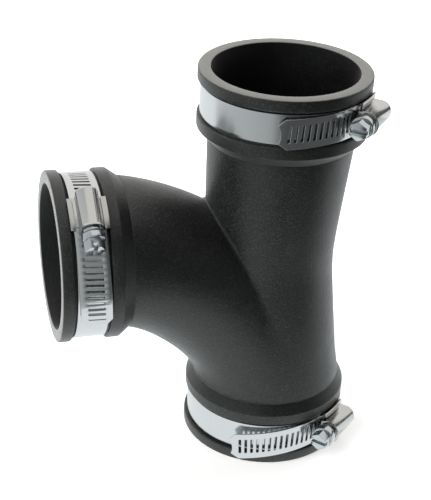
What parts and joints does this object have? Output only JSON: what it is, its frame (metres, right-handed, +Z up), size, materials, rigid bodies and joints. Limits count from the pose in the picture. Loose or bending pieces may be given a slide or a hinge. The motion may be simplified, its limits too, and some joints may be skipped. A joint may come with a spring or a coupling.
{
  "type": "pvc tee",
  "caption": "Flexible soft PVC pipe tee with a swept branch and a stainless worm drive band clamp in the groove of each pipe socket.",
  "frame": {"origin": "centre of the bottom mouth, on the face that the tee stands on", "axes": "+Z up along the straight run towards the top mouth, -X along the branch towards its mouth"},
  "size_m": [0.1344, 0.0787, 0.1707],
  "materials": {
    "soft_pvc": "matte",
    "band_steel": "satin",
    "stamped_steel": "satin",
    "screw_steel": "polished"
  },
  "bodies": {
    "tee": {"tee_body": "soft_pvc"},
    "clamp_top": {"band_top": "band_steel", "saddle_top": "stamped_steel", "housing_top": "stamped_steel"},
    "clamp_branch": {"band_branch": "band_steel", "saddle_branch": "stamped_steel", "housing_branch": "stamped_steel"},
    "clamp_bottom": {"band_bottom": "band_steel", "saddle_bottom": "stamped_steel", "housing_bottom": "stamped_steel"},
    "worm_top": {"screw_top": "screw_steel"},
    "worm_branch": {"screw_branch": "screw_steel"},
    "worm_bottom": {"screw_bottom": "screw_steel"}
  },
  "joints": [
    {"name": "clamp_top_turn", "type": "hinge", "parent": "tee", "child": "clamp_top", "pos_m": [0, 0, 0.1583], "axis": [0, 0, 1], "continuous": true},
    {"name": "worm_top_turn", "type": "hinge", "parent": "clamp_top", "child": "worm_top", "pos_m": [0.02928, -0.02546, 0.1583], "axis": [0.6561, 0.7547, 0], "continuous": true, "deforming": ["band_top"]},
    {"name": "clamp_branch_turn", "type": "hinge", "parent": "tee", "child": "clamp_branch", "pos_m": [-0.084, 0, 0.0935], "axis": [-1, 0, 0], "continuous": true},
    {"name": "worm_branch_turn", "type": "hinge", "parent": "clamp_branch", "child": "worm_branch", "pos_m": [-0.084, -0.02253, 0.12509], "axis": [0, 0.8141, 0.5807], "continuous": true, "deforming": ["band_branch"]},
    {"name": "clamp_bottom_turn", "type": "hinge", "parent": "tee", "child": "clamp_bottom", "pos_m": [0, 0, 0.0124], "axis": [0, 0, 1], "continuous": true},
    {"name": "worm_bottom_turn", "type": "hinge", "parent": "clamp_bottom", "child": "worm_bottom", "pos_m": [0.02646, -0.02838, 0.0124], "axis": [0.7314, 0.682, 0], "continuous": true, "deforming": ["band_bottom"]}
  ]
}
